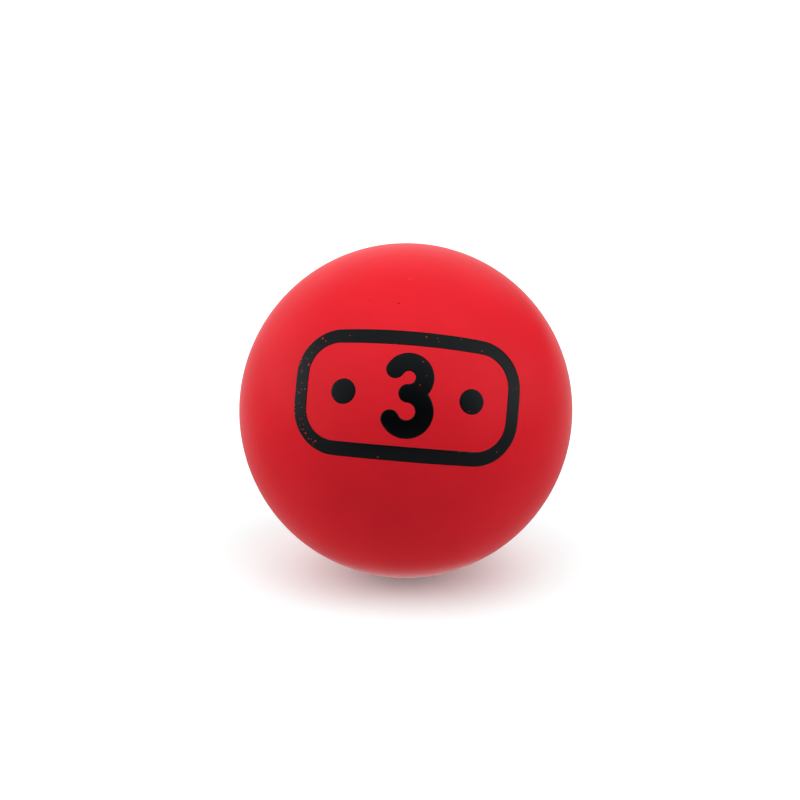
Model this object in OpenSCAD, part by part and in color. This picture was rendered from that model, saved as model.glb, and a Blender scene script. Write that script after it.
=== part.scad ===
// Foam tennis ball for beginners: an open-cell foam core, closed by a sealer coat and
// covered with a smooth coloured skin. Needle vents let the core breathe as it is hit.
// Sizes are in millimetres. The origin is the ball's centre, +Z is up and -Y is the front.

/* [Ball] */
// Outside diameter of the finished ball
ball_d = 85; // [60:0.5:120]

/* [Coats] */
// Thickness of the coloured outer skin
skin_t = 0.6; // [0.3:0.05:2]
// Thickness of the sealer coat that closes the foam's open cells under the skin
sealer_t = 0.2; // [0.1:0.05:1]

/* [Needle vents] */
// Diameter of each vent
vent_d = 0.6; // [0.3:0.05:2]
// Straight length of each vent below the skin's outer surface
vent_depth = 6; // [4:0.5:20]
// Length of the tapered tip that the needle's point leaves in the foam
vent_tip = 1.2; // [0.5:0.1:4]
// Number of vents in the row
vent_count = 2; // [1:1:4]
// Distance between neighbouring vents, straight across the ball's surface
vent_spacing = 7.3; // [3:0.1:14]
// Height of the vent row above the ball's equator, in degrees
vent_lift = 59; // [-80:1:80]
// Turn of the vent row's middle from the front towards the left, in degrees
vent_turn = 14; // [-180:1:180]

/* [Hidden] */

// Sides of a full circle, where a mesh stands for a round surface
$fn = 96;

// Outer diameter of each layer, from the skin inwards
sealer_d = ball_d - 2 * skin_t;
core_d = sealer_d - 2 * sealer_t;

// Angle at the ball's centre between neighbouring vents
vent_pitch = 2 * asin(vent_spacing / ball_d);

// How far the needle's path starts outside the ball, so that it cuts the skin cleanly
needle_clear = vent_d;

// One hollow coat, with the layer below filling its inside
module coat(outer_d, inner_d) {
    difference() {
        sphere(d = outer_d);
        sphere(d = inner_d);
    }
}

// The straight shank and pointed tip of one needle, along +Z, with its tip inside the ball
module needle() {
    shank_foot = ball_d / 2 - vent_depth;
    translate([0, 0, shank_foot])
        cylinder(d = vent_d, h = vent_depth + needle_clear);
    translate([0, 0, shank_foot - vent_tip])
        cylinder(d1 = 0, d2 = vent_d, h = vent_tip);
}

// The row of needles, each pointing at the ball's centre, spread across the row's middle
module needles() {
    for (i = [0 : vent_count - 1]) {
        across = (i - (vent_count - 1) / 2) * vent_pitch;
        rotate([0, 0, -vent_turn])
            rotate([90 - vent_lift, 0, 0])
                rotate([0, across, 0])
                    needle();
    }
}

// The resilient foam ball that gives the slow, low bounce
module foam_core() {
    color("lightcoral")
        difference() {
            sphere(d = core_d);
            needles();
        }
}

// The thin coat that bridges the foam's open cells and holds the skin to them
module sealer_coat() {
    color("mistyrose")
        difference() {
            coat(sealer_d, core_d);
            needles();
        }
}

// The tough satin skin that takes the wear and carries the colour
module skin() {
    color("crimson")
        difference() {
            coat(ball_d, sealer_d);
            needles();
        }
}

foam_core();
sealer_coat();
skin();
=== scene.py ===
"""Looks of a foam tennis ball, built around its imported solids.

The ball is a foam core under a sealer coat and a satin skin, with two needle vents near the top and a
black print on the front. The sealer coat stays as packed and gets a finish. The core, the skin and the
print are surfaces worked out with numpy as functions of the direction from the ball's centre, which is
the origin. +Z is up, -Y is the front, and all lengths are in metres.
"""

import logging
import math
from dataclasses import dataclass, field
from enum import Enum
from typing import Callable

import bpy
import numpy as np
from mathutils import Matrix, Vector
from numpy.typing import NDArray


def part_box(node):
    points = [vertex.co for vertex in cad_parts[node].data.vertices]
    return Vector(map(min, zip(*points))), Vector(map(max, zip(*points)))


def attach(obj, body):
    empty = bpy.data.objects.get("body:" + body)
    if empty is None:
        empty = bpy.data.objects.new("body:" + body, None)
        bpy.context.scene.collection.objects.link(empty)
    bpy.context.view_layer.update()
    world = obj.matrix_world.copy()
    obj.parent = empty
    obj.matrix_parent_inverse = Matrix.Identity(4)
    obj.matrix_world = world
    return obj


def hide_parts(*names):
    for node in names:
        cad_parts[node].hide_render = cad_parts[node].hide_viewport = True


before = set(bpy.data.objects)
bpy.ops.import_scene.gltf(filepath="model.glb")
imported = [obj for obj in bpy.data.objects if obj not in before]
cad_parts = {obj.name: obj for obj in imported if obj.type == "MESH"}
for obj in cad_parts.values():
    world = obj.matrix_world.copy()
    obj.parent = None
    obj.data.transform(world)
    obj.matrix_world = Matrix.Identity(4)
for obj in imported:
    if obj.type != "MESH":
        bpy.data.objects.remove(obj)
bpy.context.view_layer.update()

Array = NDArray[np.float64]
Colour = tuple[float, float, float]

MM = 0.001
TINY = 1e-12
BODY = "root"
WHITE: Colour = (1.0, 1.0, 1.0)
BLACK: Colour = (0.0, 0.0, 0.0)
log = logging.getLogger("foam_ball")


class Slot(Enum):
    """The record's material slots."""

    FOAM = "foam"
    SEALER = "sealer"
    SKIN = "skin"
    INK = "ink"


class Facing(Enum):
    """Which way the faces of a wall look: away from the ball's centre or towards it."""

    OUT = "out"
    IN = "in"


def unit(vectors: Array) -> Array:
    """Scales each vector to a length of 1."""
    return vectors / np.linalg.norm(vectors, axis=-1, keepdims=True)


def towards(lift: float, turn: float) -> Array:
    """Gives a direction from the ball's centre by its angles on the ball.

    Args:
        lift: Angle above the equator, in degrees.
        turn: Angle round from the front towards the left, in degrees.

    Returns:
        The unit direction.
    """
    up, leftward = np.radians([lift, turn])
    level = np.cos(up)
    return np.array([-np.sin(leftward) * level, -np.cos(leftward) * level, np.sin(up)])


def axes_at(lift: float, turn: float) -> Array:
    """Gives the axes of a place on the ball.

    Args:
        lift: Angle above the equator, in degrees.
        turn: Angle round from the front towards the left, in degrees.

    Returns:
        The axes as columns: level to the right, up the ball, and out.
    """
    out = towards(lift, turn)
    across = unit(np.cross([0.0, 0.0, 1.0], out))
    return np.stack([across, np.cross(out, across), out], axis=1)


def grid_cells(index: Array) -> Array:
    """Gives the corners of each cell of a grid of indices.

    They go counter-clockwise where the first count runs to the right and the second runs up.

    Args:
        index: Indices of shape (..., n, m).

    Returns:
        Four indices for each cell, of shape (..., n - 1, m - 1, 4).
    """
    corners = [index[..., :-1, :-1], index[..., 1:, :-1], index[..., 1:, 1:], index[..., :-1, 1:]]
    return np.stack(corners, axis=-1)


def ripple(points: Array, length: float, seed: int, waves: int = 24) -> Array:
    """Gives an even random ripple with no grain direction.

    Formula: the sum over all waves of sin(2 pi / length * (heading . point) + phase), with random
    headings and phases, divided so that its spread is 1.

    Args:
        points: Points of shape (n, 3).
        length: Wavelength of the ripple.
        seed: Seed of the random headings and phases.
        waves: Number of plane waves in the sum.

    Returns:
        One height for each point, without a unit.
    """
    rng = np.random.default_rng(seed)
    headings = unit(rng.normal(size=(waves, 3)))
    phases = rng.uniform(0.0, 2.0 * np.pi, waves)
    total = np.sin(points @ headings.T * (2.0 * np.pi / length) + phases).sum(axis=-1)
    return total / np.sqrt(waves / 2.0)


def cell_distance(points: Array, size: float, seed: int, period: int = 64) -> Array:
    """Gives how far each point is from the nearest centre of a random cell pattern.

    Formula: space is cut into cubes of the given size with one random centre in each, and the smallest
    distance to the centres of the 27 cubes round a point is taken, in cube sides.

    Args:
        points: Points of shape (n, 3).
        size: Side of a cube, which is the mean width of a cell.
        seed: Seed of the random centres.
        period: Number of cubes after which the pattern repeats.

    Returns:
        One distance for each point.
    """
    centres = np.random.default_rng(seed).random((period, period, period, 3))
    scaled = points / size
    home = np.floor(scaled).astype(int)
    nearest = np.full(len(points), np.inf)
    for offset in np.ndindex(3, 3, 3):
        cube = home + np.array(offset) - 1
        centre = cube + centres[tuple((cube % period).T)]
        nearest = np.minimum(nearest, np.linalg.norm(centre - scaled, axis=-1))
    return nearest


def mound(directions: Array, centre: Array, radius: float, height: float, width: float) -> Array:
    """Gives a smooth mound on the ball, or a dent where its height is negative.

    Formula: height * exp(-(distance / width) squared), with the distance straight across the ball.

    Args:
        directions: Unit directions of shape (n, 3).
        centre: Unit direction of the mound's middle.
        radius: Radius of the ball.
        height: Height of the mound's middle.
        width: Distance at which the height has fallen to about a third.

    Returns:
        One height for each direction.
    """
    distance = np.linalg.norm(directions - centre, axis=-1) * radius
    return height * np.exp(-((distance / width) ** 2))


@dataclass(frozen=True)
class VentRow:
    """The two needle vents, side by side near the top of the ball.

    Attributes:
        radius: Radius of each vent.
        depth: Straight length of each vent below the skin's outer surface.
        tip: Length of the tapered tip below that.
        spacing: Distance between the vents, straight across the skin's outer surface.
        lift: Angle of the row above the equator, in degrees.
        turn: Angle of the row's middle from the front towards the left, in degrees.
        openings: Share of each vent's radius that the skin leaves open, the left vent first.
    """

    radius: float = 0.3 * MM
    depth: float = 6.0 * MM
    tip: float = 1.2 * MM
    spacing: float = 7.3 * MM
    lift: float = 59.0
    turn: float = 14.0
    openings: tuple[float, float] = (0.4, 0.6)

    def axes(self) -> Array:
        """Gives the row's own axes as columns: across, up the ball, and out through the row's middle."""
        return axes_at(self.lift, self.turn)

    def half_angle(self, ball_radius: float) -> float:
        """Gives the angle at the ball's centre between the row's middle and a vent, in radians."""
        return math.asin(self.spacing / 2.0 / ball_radius)

    def vent_axes(self, ball_radius: float) -> Array:
        """Gives each vent's own axes, left vent first.

        Args:
            ball_radius: Outer radius of the skin.

        Returns:
            Array of shape (2, 3, 3) whose columns are across, up the ball, and out along the vent.
        """
        across, up, out = self.axes().T
        turned = []
        for angle in (-self.half_angle(ball_radius), self.half_angle(ball_radius)):
            sideways = math.cos(angle) * across - math.sin(angle) * out
            outwards = math.sin(angle) * across + math.cos(angle) * out
            turned.append(np.stack([sideways, up, outwards], axis=1))
        return np.stack(turned)


@dataclass(frozen=True)
class BallGrid:
    """A sphere of six square grids, merged along their edges, with a square opening at each vent.

    Attributes:
        cells: Cells along each side of a grid, an even number.
        vent_cells: Cells from the middle of the top grid to each vent.
        opening: Cells from a vent to the edge of its opening.
    """

    cells: int
    vent_cells: int
    opening: int = 4

    TOP = 5

    def build(self, row: VentRow, ball_radius: float) -> tuple[Array, Array, Array]:
        """Works out the grid's directions and faces.

        Formula: a point at steps (i, j, k) on a cube of steps has the direction tan(i), tan(j), tan(k) of
        angles evenly spaced from -45 to 45 degrees. The directions are then drawn towards the middle of
        the vent row by tan(new angle / 2) = zoom * tan(angle / 2), which keeps small squares square and
        puts both vents on points of the top grid.

        Args:
            row: The vents.
            ball_radius: Outer radius of the skin.

        Returns:
            The unit directions of shape (n, 3), the faces as rows of four indices, and the indices
            round each opening, counter-clockwise from its lower right corner.
        """
        steps, index = self._lattice()
        directions = unit(np.tan((steps / self.cells - 0.5) * (np.pi / 2.0)))
        grid_angle = self.vent_cells * (math.pi / 2.0) / self.cells
        zoom = math.tan(row.half_angle(ball_radius) / 2.0) / math.tan(grid_angle / 2.0)
        height = directions[:, 2:]
        spread = (1.0 + height) + zoom**2 * (1.0 - height)
        sideways = 2.0 * zoom * directions[:, :2] / spread
        upwards = ((1.0 + height) - zoom**2 * (1.0 - height)) / spread
        zoomed = np.concatenate([sideways, upwards], axis=1) @ row.axes().T

        quads, rims = self._faces(index)
        used, packed = np.unique(quads, return_inverse=True)
        return zoomed[used], packed.reshape(quads.shape), np.searchsorted(used, rims)

    def _lattice(self) -> tuple[Array, Array]:
        """Gives the points of the cube of steps, and the index of each grid's points among them.

        Returns:
            Whole steps of shape (n, 3), each point once, and indices of shape (6, cells + 1, cells + 1).
        """
        side = np.arange(self.cells + 1)
        u, v = np.meshgrid(side, side, indexing="ij")
        grids = []
        for axis in range(3):
            for level in (0, self.cells):
                grid = np.empty((*u.shape, 3), dtype=int)
                grid[..., axis] = level
                grid[..., (axis + 1) % 3] = u if level else v
                grid[..., (axis + 2) % 3] = v if level else u
                grids.append(grid)
        steps, index = np.unique(np.stack(grids).reshape(-1, 3), axis=0, return_inverse=True)
        return steps, index.reshape(6, *u.shape)

    def _faces(self, index: Array) -> tuple[Array, Array]:
        """Makes the faces between the grids' points and leaves the openings out.

        Args:
            index: Indices of shape (6, cells + 1, cells + 1).

        Returns:
            Faces as rows of four indices, and the indices round each opening.
        """
        quads = grid_cells(index)
        keep = np.ones(quads.shape[:3], dtype=bool)
        middle = self.cells // 2
        reach = self.opening
        side = np.arange(-reach, reach)
        edge = np.full(2 * reach, reach)
        rims = []
        for vent in (middle - self.vent_cells, middle + self.vent_cells):
            keep[self.TOP, vent - reach : vent + reach, middle - reach : middle + reach] = False
            across = vent + np.concatenate([edge, -side, -edge, side])
            up = middle + np.concatenate([side, edge, -side, -edge])
            rims.append(index[self.TOP, across, up])
        return quads[keep], np.stack(rims)


@dataclass
class Surface:
    """The points and faces of one piece, gathered patch by patch.

    Attributes:
        patches: Arrays of points of shape (n, 3).
        faces: Rows of three or four indices.
        count: Number of points so far.
    """

    patches: list[Array] = field(default_factory=list)
    faces: list[list[int]] = field(default_factory=list)
    count: int = 0

    def add(self, points: Array) -> Array:
        """Adds points.

        Args:
            points: Points of shape (..., 3).

        Returns:
            Their indices, of shape (...).
        """
        flat = points.reshape(-1, 3)
        index = np.arange(self.count, self.count + len(flat)).reshape(points.shape[:-1])
        self.patches.append(flat)
        self.count += len(flat)
        return index

    def add_faces(self, faces: Array, facing: Facing = Facing.OUT) -> None:
        """Adds faces, turned round where they look towards the ball's centre.

        Args:
            faces: Rows of indices, counter-clockwise as seen from outside the ball.
            facing: Which way the faces look.
        """
        turned = faces if facing is Facing.OUT else faces[:, ::-1]
        self.faces.extend(turned.tolist())

    def add_strip(self, rings: list[Array]) -> None:
        """Joins rings of indices, each to the next, by closed strips of faces.

        Args:
            rings: Rings of the same length, counter-clockwise as seen from outside, from a hole's rim in.
        """
        ring = np.stack(rings)
        ahead = np.roll(ring, -1, axis=1)
        strips = np.stack([ring[:-1], ahead[:-1], ahead[1:], ring[1:]], axis=-1)
        self.add_faces(strips.reshape(-1, 4))

    def add_fan(self, ring: Array, tip: int) -> None:
        """Closes a ring of indices with triangles to one point."""
        self.add_faces(np.stack([ring, np.roll(ring, -1), np.full_like(ring, tip)], axis=-1))

    def piece(self, name: str) -> bpy.types.Object:
        """Makes the smooth-shaded mesh object.

        Args:
            name: Name of the piece.

        Returns:
            The object, at the origin and linked to the scene.
        """
        mesh = bpy.data.meshes.new(name)
        mesh.from_pydata(np.concatenate(self.patches).tolist(), [], self.faces)
        mesh.shade_smooth()
        piece = bpy.data.objects.new(name, mesh)
        bpy.context.scene.collection.objects.link(piece)
        return piece


@dataclass(frozen=True)
class VentLining:
    """The rings of points that carry a layer's wall into one vent.

    Attributes:
        axes: The vent's axes as columns: across, up the ball, and out along the vent.
        radius: Radius of the vent.
        lip: Rounding of the vent's edge.
        collar_rings: Rings between the square opening and the round edge.
        lip_rings: Rings round the rounded edge.
    """

    axes: Array
    radius: float
    lip: float = 0.1 * MM
    collar_rings: int = 7
    lip_rings: int = 4

    def ring(self, count: int, radius: float | Array, height: float | Array) -> Array:
        """Gives circles round the vent's axis.

        Args:
            count: Points on each circle, from the lower right counter-clockwise.
            radius: Radius of the circle, or of each circle.
            height: Distance of each circle's plane from the ball's centre.

        Returns:
            Points of shape (..., count, 3).
        """
        angle = -np.pi / 4.0 + 2.0 * np.pi * np.arange(count) / count
        across, up, out = self.axes.T
        spoke = np.cos(angle)[:, None] * across + np.sin(angle)[:, None] * up
        radii = np.asarray(radius)[..., None, None]
        heights = np.asarray(height)[..., None, None]
        return spoke * radii + out * heights

    def collar(self, rim: Array, radius: float, wall: Callable[[Array], Array]) -> Array:
        """Gives the rings on a wall between its square opening and a circle round the vent.

        Formula: each point is a weighted mean of the opening's point and the circle's point, pushed along
        its own direction on to the wall.

        Args:
            rim: Points round the opening, of shape (n, 3).
            radius: Radius of the innermost ring.
            wall: Gives the wall's distance from the ball's centre in each direction.

        Returns:
            Points of shape (collar_rings, n, 3), from the opening to the circle.
        """
        height = np.linalg.norm(rim, axis=-1).mean()
        weight = (np.arange(1, self.collar_rings + 1) / self.collar_rings)[:, None, None]
        between = (1.0 - weight) * rim + weight * self.ring(len(rim), radius, height)
        directions = unit(between).reshape(-1, 3)
        return (directions * wall(directions)[:, None]).reshape(between.shape)

    def rounded_edge(self, count: int, height: float) -> Array:
        """Gives the rings over the rounded edge, from the wall into the vent.

        Formula: a quarter circle of the lip's radius, turned round the vent's axis.

        Args:
            count: Points on each ring.
            height: Distance of the wall from the ball's centre at the vent.

        Returns:
            Points of shape (lip_rings, count, 3).
        """
        angle = np.linspace(0.0, np.pi / 2.0, self.lip_rings + 1)[1:]
        radius = self.radius + self.lip * (1.0 - np.sin(angle))
        return self.ring(count, radius, height - self.lip * (1.0 - np.cos(angle)))

    def inlet(self, rim: Array, wall: Callable[[Array], Array], foot: float, rings: int) -> Array:
        """Gives the rings from the square opening in a wall down to the vent's foot.

        They are the collar, the rounded edge, and evenly spaced circles down the straight vent.

        Args:
            rim: Points round the opening, of shape (n, 3).
            wall: Gives the wall's distance from the ball's centre in each direction.
            foot: Distance of the vent's foot from the ball's centre.
            rings: Circles below the edge, the last of them at the foot.

        Returns:
            Points of shape (collar_rings + lip_rings + rings, n, 3).
        """
        count = len(rim)
        collar = self.collar(rim, self.radius + self.lip, wall)
        top = float(collar[-1].mean(axis=0) @ self.axes[:, 2])
        heights = np.linspace(top - self.lip, foot, rings + 1)[1:]
        shaft = self.ring(count, np.full(rings, self.radius), heights)
        return np.concatenate([collar, self.rounded_edge(count, top), shaft])


@dataclass(frozen=True)
class SkinRelief:
    """How far the skin's outer surface stands off a true sphere.

    Attributes:
        radius: Radius of the true sphere.
        vents: The needle vents.
        out_of_round: Half the difference between the ball's longest and shortest half width.
        long_axis: Lift and turn of its longest axis, in degrees.
        peel: Height of the sprayed coat's ripple.
        peel_length: Wavelength of that ripple.
        sink: Depth to which the skin is drawn in round each vent.
        sink_width: Width of that hollow.
        hollow: Depth of the wide hollow between the vents.
        hollow_width: Width of the wide hollow.
        nib: Height of the nib where the coat dried on a speck.
        nib_width: Width of the nib.
        nib_place: Lift and turn of the nib, in degrees.
    """

    radius: float
    vents: VentRow
    out_of_round: float = 0.11 * MM
    long_axis: tuple[float, float] = (66.0, -140.0)
    peel: float = 0.003 * MM
    peel_length: float = 3.2 * MM
    sink: float = 0.08 * MM
    sink_width: float = 0.7 * MM
    hollow: float = 0.04 * MM
    hollow_width: float = 4.5 * MM
    nib: float = 0.12 * MM
    nib_width: float = 0.3 * MM
    nib_place: tuple[float, float] = (70.0, -3.4)

    def wall(self, directions: Array) -> Array:
        """Gives the skin's distance from the ball's centre.

        Formula: radius + out_of_round * (2 c squared - 1), with c the cosine of the angle to the longest
        axis, plus the coat's ripple, the hollows at and between the vents, and the nib.

        Args:
            directions: Unit directions of shape (n, 3).

        Returns:
            One distance for each direction.
        """
        lengthwise = directions @ towards(*self.long_axis)
        wall = self.radius + self.out_of_round * (2.0 * lengthwise**2 - 1.0)
        wall += self.peel * ripple(directions * self.radius, self.peel_length, seed=11)
        for axes in self.vents.vent_axes(self.radius):
            wall += mound(directions, axes[:, 2], self.radius, -self.sink, self.sink_width)
        middle = self.vents.axes()[:, 2]
        wall += mound(directions, middle, self.radius, -self.hollow, self.hollow_width)
        wall += mound(directions, towards(*self.nib_place), self.radius, self.nib, self.nib_width)
        return wall


class Nodes:
    """Adds nodes to one node tree.

    The Mix node's sockets for colours go by number, because it has others of the same names.
    """

    MIX_SHARE = 0
    MIX_FIRST = 6
    MIX_SECOND = 7
    MIX_RESULT = 2

    def __init__(self, tree: bpy.types.NodeTree) -> None:
        """Takes over a tree and empties it."""
        self.tree = tree
        tree.nodes.clear()

    def add(self, kind: str, inputs: dict | None = None, **settings: object) -> bpy.types.Node:
        """Adds one node.

        Args:
            kind: Blender's name for the node.
            inputs: Value or linked output for each input, by its name or number.
            settings: Values of the node's own properties.

        Returns:
            The node.
        """
        node = self.tree.nodes.new(kind)
        for name, value in settings.items():
            setattr(node, name, value)
        for name, value in (inputs or {}).items():
            if isinstance(value, bpy.types.NodeSocket):
                self.tree.links.new(value, node.inputs[name])
            else:
                node.inputs[name].default_value = value
        return node

    def math(self, operation: str, *values: object) -> bpy.types.NodeSocket:
        """Adds a Math node and gives its result."""
        return self.add("ShaderNodeMath", dict(enumerate(values)), operation=operation).outputs[0]

    def mix(self, share: object, first: object, second: object) -> bpy.types.NodeSocket:
        """Mixes two colours and gives the result: the first at a share of 0, the second at 1."""
        inputs = {self.MIX_SHARE: share, self.MIX_FIRST: first, self.MIX_SECOND: second}
        return self.add("ShaderNodeMix", inputs, data_type="RGBA").outputs[self.MIX_RESULT]

    def between(
        self, value: object, low: float, high: float, start: float = 0.0, end: float = 1.0
    ) -> bpy.types.NodeSocket:
        """Maps a value from low..high smoothly on to start..end and gives the result."""
        inputs = {"Value": value, "From Min": low, "From Max": high, "To Min": start, "To Max": end}
        node = self.add("ShaderNodeMapRange", inputs, interpolation_type="SMOOTHSTEP")
        return node.outputs["Result"]

    def distance(self, place: object, point: Array) -> bpy.types.NodeSocket:
        """Measures the distance of a place from a fixed point and gives the result."""
        node = self.add("ShaderNodeVectorMath", {0: place, 1: point}, operation="DISTANCE")
        return node.outputs["Value"]

    def noise(self, place: object, scale: object, detail: float) -> bpy.types.NodeSocket:
        """Adds a noise with the given number of features in a metre and gives its value."""
        inputs = {"Vector": place, "Scale": scale, "Detail": detail}
        return self.add("ShaderNodeTexNoise", inputs).outputs["Fac"]


def opaque(colour: Colour) -> tuple[float, float, float, float]:
    """Adds an alpha of 1 to a colour."""
    return (*colour, 1.0)


@dataclass
class SharedEffects:
    """The effects that more than one finish uses, each a node group that is built once.

    Attributes:
        grain: Fine relief and gloss of a surface.
        spots: Round spots, scattered over part of the surface.
    """

    # Scale, against the ripple's, and detail of the noises for the ripple, its grain and the gloss
    NOISES = ((1.0, 1.0), (6.0, 3.0), (0.08, 3.0))
    MEAN_NOISE = 0.5

    # Width of a spot's soft edge, in cells
    SOFT_EDGE = 0.08

    grain: bpy.types.NodeTree = field(init=False)
    spots: bpy.types.NodeTree = field(init=False)

    def __post_init__(self) -> None:
        """Builds the groups."""
        self.grain = self._grain()
        self.spots = self._spots()

    @staticmethod
    def _group(name: str, inputs: dict[str, str], outputs: list[str]) -> tuple[Nodes, dict]:
        """Makes an empty group.

        Args:
            name: Name of the group.
            inputs: Kind of socket for each input's name.
            outputs: Names of the outputs, which are all values.

        Returns:
            The group's nodes, and the outputs of its input node by name.
        """
        tree = bpy.data.node_groups.new(name, "ShaderNodeTree")
        for label, kind in inputs.items():
            tree.interface.new_socket(label, in_out="INPUT", socket_type=kind)
        for label in outputs:
            tree.interface.new_socket(label, in_out="OUTPUT", socket_type="NodeSocketFloat")
        nodes = Nodes(tree)
        given = nodes.add("NodeGroupInput")
        return nodes, {label: given.outputs[label] for label in inputs}

    def _grain(self) -> bpy.types.NodeTree:
        """Builds the relief, a soft ripple with a finer grain on it, and the slow change of gloss."""
        inputs = {
            "Place": "NodeSocketVector",
            "Ripple Scale": "NodeSocketFloat",
            "Grain Share": "NodeSocketFloat",
        }
        nodes, given = self._group("coat_grain", inputs, ["Height", "Gloss Change"])
        coarse, fine, slow = (
            nodes.noise(given["Place"], nodes.math("MULTIPLY", given["Ripple Scale"], times), detail)
            for times, detail in self.NOISES
        )
        height = nodes.math("MULTIPLY_ADD", fine, given["Grain Share"], coarse)
        change = nodes.math("SUBTRACT", slow, self.MEAN_NOISE)
        nodes.add("NodeGroupOutput", {"Height": height, "Gloss Change": change})
        return nodes.tree

    def _spots(self) -> bpy.types.NodeTree:
        """Builds scattered spots: a round spot in a random share of the cells of a cell pattern."""
        inputs = {
            "Place": "NodeSocketVector",
            "Cell Scale": "NodeSocketFloat",
            "Share": "NodeSocketFloat",
            "Width": "NodeSocketFloat",
        }
        nodes, given = self._group("scattered_spots", inputs, ["Mask"])
        pattern = {"Vector": given["Place"], "Scale": given["Cell Scale"]}
        cells = nodes.add("ShaderNodeTexVoronoi", pattern)
        lot = nodes.add("ShaderNodeSeparateColor", {"Color": cells.outputs["Color"]})
        chosen = nodes.math("LESS_THAN", lot.outputs["Red"], given["Share"])
        width = nodes.math("MULTIPLY", given["Width"], lot.outputs["Green"])
        inside = nodes.math("SUBTRACT", width, cells.outputs["Distance"])
        edge = nodes.between(inside, 0.0, self.SOFT_EDGE)
        nodes.add("NodeGroupOutput", {"Mask": nodes.math("MULTIPLY", edge, chosen)})
        return nodes.tree


@dataclass(frozen=True)
class Texture:
    """Fine relief and gloss of a surface.

    Attributes:
        ripple: Size of its soft ripple.
        grain: Height of the finer grain on the ripple, as a share of the ripple's.
        depth: Depth that a height of 1 stands for.
        roughness: Mean roughness.
        gloss_change: How far the roughness changes slowly from place to place.
    """

    ripple: float
    grain: float
    depth: float
    roughness: float
    gloss_change: float = 0.0


@dataclass(frozen=True)
class Spots:
    """Round spots, scattered in the cells of a random pattern.

    Attributes:
        cell: Width of a cell.
        share: Share of the cells that have a spot.
        width: Largest radius of a spot, in cells.
    """

    cell: float
    share: float
    width: float


class Finish:
    """A material in the making: its nodes, the place on the piece, and the shader that ends it."""

    def __init__(self, slot: Slot, effects: SharedEffects) -> None:
        """Starts an empty material for a slot."""
        self.material = bpy.data.materials.new(slot.value)
        self.material.use_nodes = True
        self.effects = effects
        self.nodes = Nodes(self.material.node_tree)
        self.place = self.nodes.add("ShaderNodeTexCoord").outputs["Object"]

    def texture(self, texture: Texture) -> dict:
        """Places fine relief and gloss.

        Args:
            texture: Their sizes.

        Returns:
            The shader's inputs for them.
        """
        inputs = {"Place": self.place, "Ripple Scale": 1.0 / texture.ripple, "Grain Share": texture.grain}
        grain = self.nodes.add("ShaderNodeGroup", inputs, node_tree=self.effects.grain).outputs
        relief = {"Height": grain["Height"], "Distance": texture.depth}
        normal = self.nodes.add("ShaderNodeBump", relief).outputs["Normal"]
        gloss = texture.roughness
        if texture.gloss_change:
            gloss = self.nodes.math("MULTIPLY_ADD", grain["Gloss Change"], texture.gloss_change, gloss)
        return {"Roughness": gloss, "Normal": normal}

    def spots(self, spots: Spots, share: object = None) -> bpy.types.NodeSocket:
        """Places scattered spots.

        Args:
            spots: Their sizes.
            share: Linked share of the cells that have a spot, where it isn't the same all over.

        Returns:
            The spots' mask.
        """
        inputs = {
            "Place": self.place,
            "Cell Scale": 1.0 / spots.cell,
            "Share": spots.share if share is None else share,
            "Width": spots.width,
        }
        return self.nodes.add("ShaderNodeGroup", inputs, node_tree=self.effects.spots).outputs["Mask"]

    def end(self, inputs: dict) -> bpy.types.Material:
        """Ends the material with a Principled shader.

        Args:
            inputs: Value or linked output for each of the shader's inputs.

        Returns:
            The material.
        """
        shader = self.nodes.add("ShaderNodeBsdfPrincipled", inputs)
        self.nodes.add("ShaderNodeOutputMaterial", {"Surface": shader.outputs["BSDF"]})
        return self.material


@dataclass(frozen=True)
class SkinFinish:
    """Satin red elastomer, sprayed: smooth, with a faint ripple and a slight unevenness of colour.

    Attributes:
        colour: Colour of the skin.
        thin_colour: Colour where the coat is thinner and less bright.
        cloud: Size of the places where the coat is thinner.
        cloud_range: Values of the noise between which the coat goes from full to thin.
        dust_colour: Colour of the few specks of dust in the coat.
        dust: The specks of dust.
        nib_highlight_colour: Painted highlight on the nib, a lighter red where its bump catches the
            light.
        nib_highlight_reach: Distances, in nib widths, at which the painted highlight begins to fade and
            ends.
        refraction: Refractive index, low because the satin coat shines only where it is seen at a slant.
        texture: Fine relief and gloss.
    """

    colour: Colour = (0.74, 0.017, 0.028)
    thin_colour: Colour = (0.70, 0.016, 0.026)
    cloud: float = 14.0 * MM
    cloud_range: tuple[float, float] = (0.3, 0.7)
    dust_colour: Colour = (0.30, 0.008, 0.012)
    dust: Spots = Spots(cell=2.6 * MM, share=0.035, width=0.09)
    nib_highlight_colour: Colour = (0.90, 0.05, 0.065)
    nib_highlight_reach: tuple[float, float] = (0.2, 1.2)
    refraction: float = 1.1
    texture: Texture = Texture(1.4 * MM, grain=0.25, depth=0.004 * MM, roughness=0.34, gloss_change=0.08)

    def material(self, effects: SharedEffects, relief: SkinRelief) -> bpy.types.Material:
        """Makes the material.

        Args:
            effects: The shared effects.
            relief: Shape of the skin, which places the nib.

        Returns:
            The material.
        """
        finish = Finish(Slot.SKIN, effects)
        nodes = finish.nodes
        noise = nodes.noise(finish.place, 1.0 / self.cloud, detail=4.0)
        thin = nodes.between(noise, *self.cloud_range)
        coat = nodes.mix(thin, opaque(self.colour), opaque(self.thin_colour))
        coat = nodes.mix(finish.spots(self.dust), coat, opaque(self.dust_colour))
        # The nib gets a painted highlight: a lighter red spot where its bump catches the light
        nib_point = towards(*relief.nib_place) * (relief.radius + relief.nib)
        near, far = (reach * relief.nib_width for reach in self.nib_highlight_reach)
        nib = nodes.between(nodes.distance(finish.place, nib_point), near, far, 1.0, 0.0)
        return finish.end({
            "Base Color": nodes.mix(nib, coat, opaque(self.nib_highlight_colour)),
            "IOR": self.refraction,
            **finish.texture(self.texture),
        })


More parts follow.
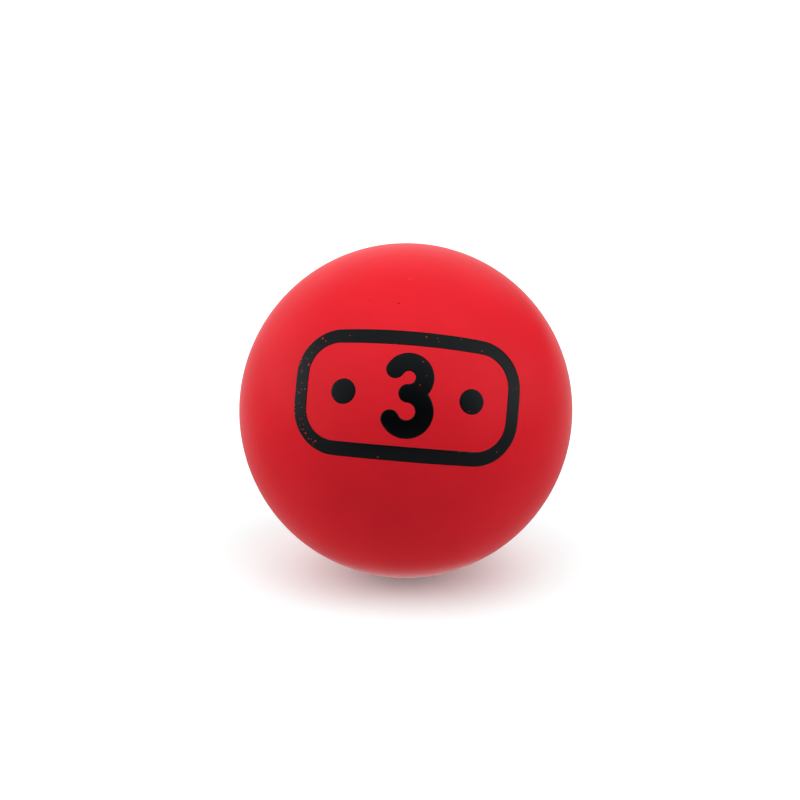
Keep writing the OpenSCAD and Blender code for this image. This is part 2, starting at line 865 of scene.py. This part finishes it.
@dataclass(frozen=True)
class InkFinish:
    """Black pad-printing ink: a thin satin film with pinholes where it didn't take, most on the left.

    Attributes:
        colour: Colour of the ink.
        bare_colour: Colour of the skin in the pinholes.
        sheen_tint: Tint of the ink's gloss.
        refraction: Refractive index, which sets the strength of the gloss.
        texture: Fine relief and gloss.
        pinholes: The larger and the smaller pinholes, where they are thickest.
        least_share: Share of the cells that have a pinhole where they are thinnest.
        worn_from: Place across the ball where the pinholes begin to thicken.
        worn_to: Place across the ball where they are thickest.
    """

    colour: Colour = (0.001, 0.001, 0.0012)
    bare_colour: Colour = (0.42, 0.018, 0.022)
    sheen_tint: Colour = (0.8, 0.95, 1.0)
    refraction: float = 1.2
    texture: Texture = Texture(0.8 * MM, grain=0.4, depth=0.010 * MM, roughness=0.32, gloss_change=0.06)
    pinholes: tuple[Spots, ...] = (
        Spots(cell=0.85 * MM, share=0.45, width=0.42),
        Spots(cell=0.5 * MM, share=0.4, width=0.42),
    )
    least_share: float = 0.02
    worn_from: float = -18.0 * MM
    worn_to: float = -27.0 * MM

    def material(self, effects: SharedEffects) -> bpy.types.Material:
        """Makes the material."""
        finish = Finish(Slot.INK, effects)
        nodes = finish.nodes
        across = nodes.add("ShaderNodeSeparateXYZ", {"Vector": finish.place}).outputs["X"]
        colour = opaque(self.colour)
        for holes in self.pinholes:
            share = nodes.between(across, self.worn_to, self.worn_from, holes.share, self.least_share)
            colour = nodes.mix(finish.spots(holes, share), colour, opaque(self.bare_colour))
        return finish.end({
            "Base Color": colour,
            "IOR": self.refraction,
            "Specular Tint": opaque(self.sheen_tint),
            **finish.texture(self.texture),
        })


@dataclass(frozen=True)
class SpottedFinish:
    """A plain coat or foam with spots of a second colour all over, which on foam are painted shade.

    Attributes:
        slot: The slot that it is for.
        colour: Colour of the surface.
        spot_and_shade_colour: Colour of the spots, which on foam is a painted shade down in its cells.
        spots: The spots.
        texture: Fine relief and gloss.
    """

    slot: Slot
    colour: Colour
    spot_and_shade_colour: Colour
    spots: Spots
    texture: Texture

    def material(self, effects: SharedEffects) -> bpy.types.Material:
        """Makes the material."""
        finish = Finish(self.slot, effects)
        spotted = finish.spots(self.spots)
        colour = finish.nodes.mix(spotted, opaque(self.colour), opaque(self.spot_and_shade_colour))
        return finish.end({"Base Color": colour, **finish.texture(self.texture)})


# Milky pink elastomer, with spots where it has soaked in and the foam shows through
SEALER_FINISH = SpottedFinish(
    Slot.SEALER,
    colour=(0.86, 0.62, 0.58),
    spot_and_shade_colour=(0.82, 0.44, 0.41),
    spots=Spots(cell=2.2 * MM, share=0.8, width=0.5),
    texture=Texture(2.0 * MM, grain=0.3, depth=0.05 * MM, roughness=0.5, gloss_change=0.2),
)

# Open-cell foam: matte, with dark spots of painted shade down in its cells
FOAM_FINISH = SpottedFinish(
    Slot.FOAM,
    colour=(0.80, 0.34, 0.32),
    spot_and_shade_colour=(0.42, 0.12, 0.11),
    spots=Spots(cell=0.7 * MM, share=0.9, width=0.7),
    texture=Texture(1.2 * MM, grain=0.6, depth=0.2 * MM, roughness=0.9),
)


@dataclass(frozen=True)
class BallSizes:
    """The radii of the ball's layers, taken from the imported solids.

    Attributes:
        skin: Outer radius of the skin.
        sealer: Outer radius of the sealer coat, which is the skin's inner radius.
        core: Outer radius of the foam core.
    """

    skin: float
    sealer: float
    core: float

    @classmethod
    def from_frame(cls) -> "BallSizes":
        """Measures half the height of each packed layer."""
        boxes = [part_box(node) for node in ("skin", "sealer_coat", "foam_core")]
        return cls(*((high.z - low.z) / 2.0 for low, high in boxes))


@dataclass(frozen=True)
class Skin:
    """The outer skin: a thin closed shell that the vents go right through.

    Attributes:
        sizes: Radii of the layers.
        vents: The needle vents.
        outer_grid: Grid of the outer wall.
        inner_grid: Grid of the inner wall, which nothing shows.
        shaft_rings: Rings down the vent below its rounded edge, the last at the inner wall.
    """

    sizes: BallSizes
    vents: VentRow
    outer_grid: BallGrid = BallGrid(cells=114, vent_cells=15)
    inner_grid: BallGrid = BallGrid(cells=38, vent_cells=5)
    shaft_rings: int = 3

    def relief(self) -> SkinRelief:
        """Gives the shape of the outer wall."""
        return SkinRelief(self.sizes.skin, self.vents)

    def inner_wall(self, directions: Array) -> Array:
        """Gives the inner wall's distance from the ball's centre, the same in each direction."""
        return np.full(len(directions), self.sizes.sealer)

    def build(self) -> bpy.types.Object:
        """Builds both walls and joins them through the vents.

        Returns:
            The skin's object.
        """
        surface = Surface()
        outer_wall = self.relief().wall
        walls = []
        for grid, wall, facing in (
            (self.outer_grid, outer_wall, Facing.OUT),
            (self.inner_grid, self.inner_wall, Facing.IN),
        ):
            directions, quads, rims = grid.build(self.vents, self.sizes.skin)
            points = directions * wall(directions)[:, None]
            index = surface.add(points)
            surface.add_faces(index[quads], facing)
            walls.append((points, index, rims))
        (outer, outer_index, outer_rims), (inner, inner_index, inner_rims) = walls
        for number, axes in enumerate(self.vents.vent_axes(self.sizes.skin)):
            lining = VentLining(axes, self.vents.radius * self.vents.openings[number])
            outer_rim, inner_rim = outer_rims[number], inner_rims[number]
            inlet = lining.inlet(outer[outer_rim], outer_wall, self.sizes.sealer, self.shaft_rings)
            outlet = lining.collar(inner[inner_rim], lining.radius, self.inner_wall)[::-1]
            rings = surface.add(np.concatenate([inlet[:-1], outlet]))
            surface.add_strip([outer_index[outer_rim], *rings, inner_index[inner_rim]])
        return surface.piece("ball_skin")

    def dress(self, piece: bpy.types.Object, material: bpy.types.Material) -> None:
        """Gives the skin its finish and its place in the frame."""
        piece.data.materials.append(material)
        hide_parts("skin")
        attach(piece, BODY)


@dataclass(frozen=True)
class FoamCore:
    """The foam ball inside, with open cells on its surface and the blind ends of the vents.

    Attributes:
        sizes: Radii of the layers.
        vents: The needle vents.
        grid: Grid of the surface.
        cell: Mean width of the large cells on the surface.
        cell_depth: Depth of those cells.
        rib: Distance from a cell's centre at which the rib round it begins, in cells.
        shaft_rings: Rings down the straight part of each vent, below its edge.
    """

    sizes: BallSizes
    vents: VentRow
    grid: BallGrid = BallGrid(cells=114, vent_cells=15)
    cell: float = 2.4 * MM
    cell_depth: float = 0.45 * MM
    rib: float = 0.75
    shaft_rings: int = 7

    def wall(self, directions: Array) -> Array:
        """Gives the core's distance from the ball's centre.

        Formula: radius - cell_depth * (1 - (d / rib) squared) inside each cell, with d the distance from
        the cell's centre in cells, and the plain radius on the ribs between the cells.

        Args:
            directions: Unit directions of shape (n, 3).

        Returns:
            One distance for each direction.
        """
        distance = cell_distance(directions * self.sizes.core, self.cell, seed=5)
        return self.sizes.core - self.cell_depth * np.clip(1.0 - (distance / self.rib) ** 2, 0.0, 1.0)

    def build(self) -> bpy.types.Object:
        """Builds the surface with its two blind vents.

        Returns:
            The core's object.
        """
        surface = Surface()
        directions, quads, rims = self.grid.build(self.vents, self.sizes.skin)
        points = directions * self.wall(directions)[:, None]
        index = surface.add(points)
        surface.add_faces(index[quads])
        foot = self.sizes.skin - self.vents.depth
        for rim, axes in zip(rims, self.vents.vent_axes(self.sizes.skin)):
            lining = VentLining(axes, self.vents.radius, lip_rings=1)
            rings = surface.add(lining.inlet(points[rim], self.wall, foot, self.shaft_rings))
            tip = surface.add(axes[:, 2][None] * (foot - self.vents.tip))
            surface.add_strip([index[rim], *rings])
            surface.add_fan(rings[-1], int(tip[0]))
        return surface.piece("ball_core")

    def dress(self, piece: bpy.types.Object, material: bpy.types.Material) -> None:
        """Gives the core its finish and its place in the frame."""
        piece.data.materials.append(material)
        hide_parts("foam_core")
        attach(piece, BODY)


def arc_distance(
    points: Array, centre: tuple[float, float], radius: float, start: float, end: float
) -> Array:
    """Gives the distance of each point from an arc.

    Formula: within the arc's angles, how far the point is from the circle; elsewhere, how far it is from
    the nearer end.

    Args:
        points: Points of shape (..., 2).
        centre: Centre of the arc.
        radius: Radius of the arc.
        start: Angle at which the arc starts, in degrees counter-clockwise from the right.
        end: Angle at which it ends, larger than start.

    Returns:
        One distance for each point.
    """
    offset = points - np.array(centre)
    middle, half = np.radians([(start + end) / 2.0, (end - start) / 2.0])
    angle = np.arctan2(offset[..., 1], offset[..., 0]) - middle
    angle = np.abs((angle + np.pi) % (2.0 * np.pi) - np.pi)
    from_circle = np.abs(np.linalg.norm(offset, axis=-1) - radius)
    tips = (middle - half, middle + half)
    ends = radius * np.array([[math.cos(tip), math.sin(tip)] for tip in tips])
    from_ends = np.linalg.norm(offset[..., None, :] - ends, axis=-1).min(axis=-1)
    return np.where(angle <= half, from_circle, from_ends)


def block_distance(points: Array, size: tuple[float, float], corner: float) -> Array:
    """Gives the signed distance of each point from a block with round corners, negative inside.

    Args:
        points: Points of shape (..., 2), from the block's middle.
        size: Length and height of the block.
        corner: Radius of its corners.

    Returns:
        One distance for each point.
    """
    beyond = np.abs(points) - np.array(size) / 2.0 + corner
    outside = np.linalg.norm(np.maximum(beyond, 0.0), axis=-1)
    return outside + np.minimum(beyond.max(axis=-1), 0.0) - corner


@dataclass(frozen=True)
class PrintedMark:
    """The print on the front, as thin films of ink: a plain numeral between two dots in an oblong frame.

    Attributes:
        relief: Shape of the skin that carries the film.
        place: Lift and turn of the print's middle, in degrees.
        tilt: Angle by which the print leans clockwise, in degrees.
        size: Length and height of the frame.
        corner: Radius of the frame's corners, at the middle of its line.
        line: Width of the frame's line.
        stroke: Width of the numeral's stroke.
        upper_bowl: Radius of the numeral's upper bowl, at the middle of the stroke.
        lower_bowl: Radius of its lower bowl.
        terminal: Angle past the top and the bottom at which the bowls end, in degrees.
        dot: Diameter of each dot.
        dot_middle: Distance of the dots' middles from the numeral's middle.
        film: Thickness of the ink.
        bite: Depth to which the film's underside reaches into the skin.
        edge: Width over which the film thins out towards its outline.
        step: Side of a cell of the film's grid.
        nudge: Step by which the outline's slope is measured, as a share of a cell.
        moves: Times that the points on the edge move towards the outline.
    """

    relief: SkinRelief
    place: tuple[float, float] = (25.6, -0.65)
    tilt: float = 5.0
    size: tuple[float, float] = (59.6 * MM, 32.6 * MM)
    corner: float = 10.0 * MM
    line: float = 3.8 * MM
    stroke: float = 4.6 * MM
    upper_bowl: float = 3.9 * MM
    lower_bowl: float = 4.4 * MM
    terminal: float = 62.0
    dot: float = 6.4 * MM
    dot_middle: float = 16.0 * MM
    film: float = 0.015 * MM
    bite: float = 0.02 * MM
    edge: float = 0.3 * MM
    step: float = 0.25 * MM
    nudge: float = 0.01
    moves: int = 3

    def numeral(self, points: Array) -> Array:
        """Gives the signed distance from the numeral's outline: two bowls of one stroke, stacked."""
        waist = self.lower_bowl - self.upper_bowl
        upper = arc_distance(
            points, (0.0, waist + self.upper_bowl), self.upper_bowl, -90.0, 90.0 + self.terminal
        )
        lower = arc_distance(
            points, (0.0, waist - self.lower_bowl), self.lower_bowl, -90.0 - self.terminal, 90.0
        )
        return np.minimum(upper, lower) - self.stroke / 2.0

    def frame(self, points: Array) -> Array:
        """Gives the signed distance from the outlines of the frame's line and of the two dots in it."""
        length, height = (side - self.line for side in self.size)
        line = np.abs(block_distance(points, (length, height), self.corner)) - self.line / 2.0
        mirrored = np.stack([np.abs(points[..., 0]) - self.dot_middle, points[..., 1]], axis=-1)
        dots = np.linalg.norm(mirrored, axis=-1) - self.dot / 2.0
        return np.minimum(line, dots)

    def film_points(self, flat: Array, height: Array) -> Array:
        """Lays points of the flat print on the ball.

        Formula: a point at a distance d from the print's middle lies at the angle d / radius from it on
        the ball, in the same direction, and stands its height above the skin.

        Args:
            flat: Points of shape (n, 2), to the right and up as the print is read.
            height: Height of each point above the skin.

        Returns:
            Points of shape (n, 3).
        """
        level, rise, middle = axes_at(*self.place).T
        lean = math.radians(self.tilt)
        right = math.cos(lean) * level - math.sin(lean) * rise
        up = math.sin(lean) * level + math.cos(lean) * rise
        distance = np.linalg.norm(flat, axis=-1, keepdims=True)
        heading = (flat[:, :1] * right + flat[:, 1:] * up) / np.maximum(distance, TINY)
        angle = distance / self.relief.radius
        directions = np.cos(angle) * middle + np.sin(angle) * heading
        return directions * (self.relief.wall(directions) + height)[:, None]

    def build(self, name: str, outline: Callable[[Array], Array]) -> bpy.types.Object:
        """Builds one film of ink inside an outline.

        Formula: the cells of a square grid whose middles lie inside the outline are kept, the points on
        their edge move on to the outline along its slope, and the film thins out smoothly towards it.

        Args:
            name: Name of the piece.
            outline: Gives the signed distance from the outline at each point of the flat print.

        Returns:
            The film's object.
        """
        reach = max(self.size) / 2.0 + 2.0 * self.step
        columns = np.arange(-reach, reach, self.step)
        flat = np.stack(np.meshgrid(columns, columns, indexing="ij"), axis=-1)
        inside = outline(flat[:-1, :-1] + self.step / 2.0) < 0.0
        index = np.arange(len(columns) ** 2).reshape(flat.shape[:2])
        quads = grid_cells(index)[inside]
        used, packed = np.unique(quads, return_inverse=True)
        packed = packed.reshape(quads.shape)
        shared = np.bincount(packed.ravel(), minlength=len(used))
        flat = flat.reshape(-1, 2)[used]

        # A point inside the film belongs to four cells
        on_edge = shared < 4
        nudges = np.eye(2) * self.step * self.nudge
        for _ in range(self.moves):
            distance = outline(flat)
            slope = np.stack([outline(flat + nudge) - distance for nudge in nudges], axis=-1)
            slope /= np.maximum(np.linalg.norm(slope, axis=-1, keepdims=True), TINY)
            flat = np.where(on_edge[:, None], flat - distance[:, None] * slope, flat)

        thinning = np.clip(-outline(flat) / self.edge, 0.0, 1.0)
        height = self.film * thinning * (2.0 - thinning)
        top = self.film_points(flat, height)
        underside = self.film_points(flat, np.full(len(flat), -self.bite))
        surface = Surface()
        top_index = surface.add(top)
        under_index = surface.add(underside)
        surface.add_faces(top_index[packed])
        surface.add_faces(under_index[packed], Facing.IN)
        sides = np.concatenate([packed[:, [k, (k + 1) % 4]] for k in range(4)])
        keys = sides[:, 0] * len(used) + sides[:, 1]
        reverse = sides[:, 1] * len(used) + sides[:, 0]
        border = sides[~np.isin(keys, reverse)]
        start, end = border.T
        corners = [top_index[start], under_index[start], under_index[end], top_index[end]]
        surface.add_faces(np.stack(corners, axis=-1))
        return surface.piece(name)

    def dress(self, piece: bpy.types.Object, material: bpy.types.Material) -> None:
        """Gives a film its finish and its place in the frame."""
        piece.data.materials.append(material)
        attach(piece, BODY)


@dataclass(frozen=True)
class SealerCoat:
    """The sealer coat, which stays as packed."""

    def dress(self, material: bpy.types.Material) -> bpy.types.Object:
        """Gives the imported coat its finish.

        Args:
            material: The finish.

        Returns:
            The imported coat's object.
        """
        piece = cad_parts["sealer_coat"]
        piece.data.materials.clear()
        piece.data.materials.append(material)
        return piece


@dataclass(frozen=True)
class Softbox:
    """A soft round patch of light, far away.

    Attributes:
        lift: Angle of its middle above the horizon, in degrees.
        turn: Angle of its middle from the front towards the left, in degrees.
        strength: Brightness of its middle, where 1 is white.
        spread: Angle from its middle at which it has faded out, in degrees.
    """

    lift: float
    turn: float
    strength: float
    spread: float = 45.0


@dataclass(frozen=True)
class Studio:
    """A plain pale floor in soft light, and the camera.

    Attributes:
        ball_radius: Radius of the ball, which the camera's distance follows.
        floor_level: Height of the floor.
        floor_reach: Half the side of the floor.
        floor_colour: Colour of the floor as the camera sees it.
        floor_lift: Light that the floor adds for the camera, so that its shadow isn't black.
        mirrored: Glow of the floor that only the ball's gloss sees, as painted reflections: a painted
            bright
        pool under the ball, a painted shadow round it, and white beyond.
        under_reach: Distances from the ball, in radii, between which the first changes to the second.
        shadow_reach: Distances from the ball, in radii, between which the second changes to the third.
        floor_bounce: Colour of the floor in the light that it throws back on to the ball.
        bounce_reach: Distances from the ball, in radii, between which the thrown light fades out.
        softboxes: The patches of light.
        lens: Focal length, in millimetres.
        elevation: Angle of the camera above the horizon, in degrees.
        image_side: Side of the square picture, in pixels.
        ball_pixels: Radius of the ball in the picture, in pixels.
        ball_pixel: Place of the ball's centre in the picture, in pixels from its upper left corner.
    """

    ball_radius: float
    floor_level: float
    floor_reach: float = 4.0
    floor_colour: Colour = (0.85, 1.0, 1.0)
    floor_lift: float = 0.145
    mirrored: tuple[float, float, float] = (1.52, 0.62, 1.05)
    under_reach: tuple[float, float] = (0.4, 0.6)
    shadow_reach: tuple[float, float] = (1.5, 3.5)
    floor_bounce: Colour = (0.7, 0.7, 0.7)
    bounce_reach: tuple[float, float] = (1.0, 4.0)
    softboxes: tuple[Softbox, ...] = (
        Softbox(lift=4.0, turn=80.0, strength=2.27),
        Softbox(lift=4.0, turn=120.0, strength=1.51),
        Softbox(lift=4.0, turn=-80.0, strength=2.5),
        Softbox(lift=30.0, turn=180.0, strength=1.67),
        Softbox(lift=55.0, turn=60.0, strength=1.66),
        Softbox(lift=55.0, turn=-60.0, strength=1.96),
    )
    lens: float = 135.0
    elevation: float = 20.7
    image_side: float = 800.0
    ball_pixels: float = 167.1
    ball_pixel: tuple[float, float] = (405.8, 410.4)

    def camera(self) -> bpy.types.Object:
        """Makes the camera, at the distance at which the ball has its size in the picture.

        Returns:
            The camera's object, which is the scene's camera.
        """
        data = bpy.data.cameras.new("camera")
        data.lens = self.lens
        data.clip_start = 0.01
        camera = bpy.data.objects.new("camera", data)
        bpy.context.scene.collection.objects.link(camera)
        focal_pixels = self.image_side * self.lens / data.sensor_width
        distance = self.ball_radius * math.hypot(1.0, focal_pixels / self.ball_pixels)
        angle = math.radians(self.elevation)
        back = Vector((0.0, -math.cos(angle), math.sin(angle)))
        right = Vector((1.0, 0.0, 0.0))
        up = back.cross(right)
        off_right = (self.ball_pixel[0] - self.image_side / 2.0) / focal_pixels
        off_down = (self.ball_pixel[1] - self.image_side / 2.0) / focal_pixels
        aim = distance * (off_down * up - off_right * right)
        camera.location = distance * back
        camera.rotation_euler = (aim - camera.location).to_track_quat("-Z", "Y").to_euler()
        bpy.context.scene.camera = camera
        return camera

    def floor(self) -> bpy.types.Object:
        """Makes the floor: one flat square that shows white to the camera and keeps the ball's shadow.

        Returns:
            The floor's object.
        """
        side = np.array([-self.floor_reach, self.floor_reach])
        x, y = np.meshgrid(side, side, indexing="ij")
        corners = np.stack([x, y, np.full_like(x, self.floor_level)], axis=-1)
        surface = Surface()
        index = surface.add(corners)
        surface.add_faces(grid_cells(index).reshape(-1, 4))
        floor = surface.piece("floor")
        floor.data.materials.append(self._floor_finish())
        return floor

    def _floor_finish(self) -> bpy.types.Material:
        """Makes the floor's matte finish.

        The camera sees it white with the ball's shadow. For the ball's gloss it glows as painted
        reflections:
        a painted bright pool under the ball, a painted shadow round it, and white beyond. The light that
        it throws back on to the ball fades with the distance, as from a small table top.

        Returns:
            The material.
        """
        material = bpy.data.materials.new("floor")
        material.use_nodes = True
        nodes = Nodes(material.node_tree)
        rays = nodes.add("ShaderNodeLightPath").outputs
        seen = nodes.math("MAXIMUM", rays["Is Camera Ray"], rays["Is Transmission Ray"])
        place = nodes.add("ShaderNodeTexCoord").outputs["Object"]
        contact = np.array([0.0, 0.0, self.floor_level])
        away = nodes.math("DIVIDE", nodes.distance(place, contact), self.ball_radius)
        faded = nodes.between(away, *self.bounce_reach)
        thrown = nodes.mix(faded, opaque(self.floor_bounce), opaque(BLACK))
        unseen = nodes.mix(rays["Is Glossy Ray"], thrown, opaque(BLACK))
        # The floor glows for the ball's gloss alone: a painted bright pool under the ball, a painted
        # shadow round it, white beyond
        under, shadow, beyond = self.mirrored
        middle = nodes.between(away, *self.under_reach, under - shadow, 0.0)
        around = nodes.between(away, *self.shadow_reach, shadow, beyond)
        shown = nodes.math("MULTIPLY", rays["Is Glossy Ray"], nodes.math("ADD", middle, around))
        shader = nodes.add("ShaderNodeBsdfPrincipled", {
            "Base Color": nodes.mix(seen, unseen, opaque(self.floor_colour)),
            "Roughness": 1.0,
            "Specular IOR Level": 0.0,
            "Emission Color": opaque(WHITE),
            "Emission Strength": nodes.math("MULTIPLY_ADD", seen, self.floor_lift, shown),
        })
        nodes.add("ShaderNodeOutputMaterial", {"Surface": shader.outputs["BSDF"]})
        return material

    def world(self) -> bpy.types.World:
        """Makes the light of the softboxes, with plain white behind everything for the camera.

        Formula: each softbox rises by a smooth step in the cosine of the angle from its middle, from
        nothing at its spread to its strength at the middle, and the softboxes add up.

        Returns:
            The scene's world.
        """
        world = bpy.data.worlds.new("studio")
        world.use_nodes = True
        nodes = Nodes(world.node_tree)
        heading = nodes.add("ShaderNodeTexCoord").outputs["Generated"]
        light = 0.0
        for softbox in self.softboxes:
            axis = towards(softbox.lift, softbox.turn)
            facing = nodes.add("ShaderNodeVectorMath", {0: heading, 1: axis}, operation="DOT_PRODUCT")
            edge = math.cos(math.radians(softbox.spread))
            glow = nodes.between(facing.outputs["Value"], edge, 1.0, 0.0, softbox.strength)
            light = nodes.math("ADD", glow, light)
        rays = nodes.add("ShaderNodeLightPath").outputs
        seen = nodes.math("MAXIMUM", rays["Is Camera Ray"], rays["Is Transmission Ray"])
        light = nodes.mix(seen, light, opaque(WHITE))
        background = nodes.add("ShaderNodeBackground", {"Color": light})
        nodes.add("ShaderNodeOutputWorld", {"Surface": background.outputs["Background"]})
        bpy.context.scene.world = world
        return world


def report(piece: bpy.types.Object) -> None:
    """Reports a piece's name and its number of faces."""
    log.info("%s: %d faces", piece.name, len(piece.data.polygons))


def main() -> None:
    """Builds and dresses the ball, then sets the studio round it."""
    logging.basicConfig(level=logging.INFO, format="%(name)s %(message)s")
    bpy.context.scene.view_settings.view_transform = "Standard"
    sizes = BallSizes.from_frame()
    vents = VentRow()
    effects = SharedEffects()

    core = FoamCore(sizes, vents)
    core_piece = core.build()
    core.dress(core_piece, FOAM_FINISH.material(effects))
    report(core_piece)

    report(SealerCoat().dress(SEALER_FINISH.material(effects)))

    skin = Skin(sizes, vents)
    skin_piece = skin.build()
    skin.dress(skin_piece, SkinFinish().material(effects, skin.relief()))
    report(skin_piece)

    mark = PrintedMark(skin.relief())
    ink = InkFinish().material(effects)
    for name, outline in (("printed_numeral", mark.numeral), ("printed_frame", mark.frame)):
        film = mark.build(name, outline)
        mark.dress(film, ink)
        report(film)

    lowest = min(corner[2] for corner in skin_piece.bound_box)
    studio = Studio(sizes.skin, lowest)
    studio.camera()
    studio.world()
    report(studio.floor())


if __name__ == "__main__":
    main()
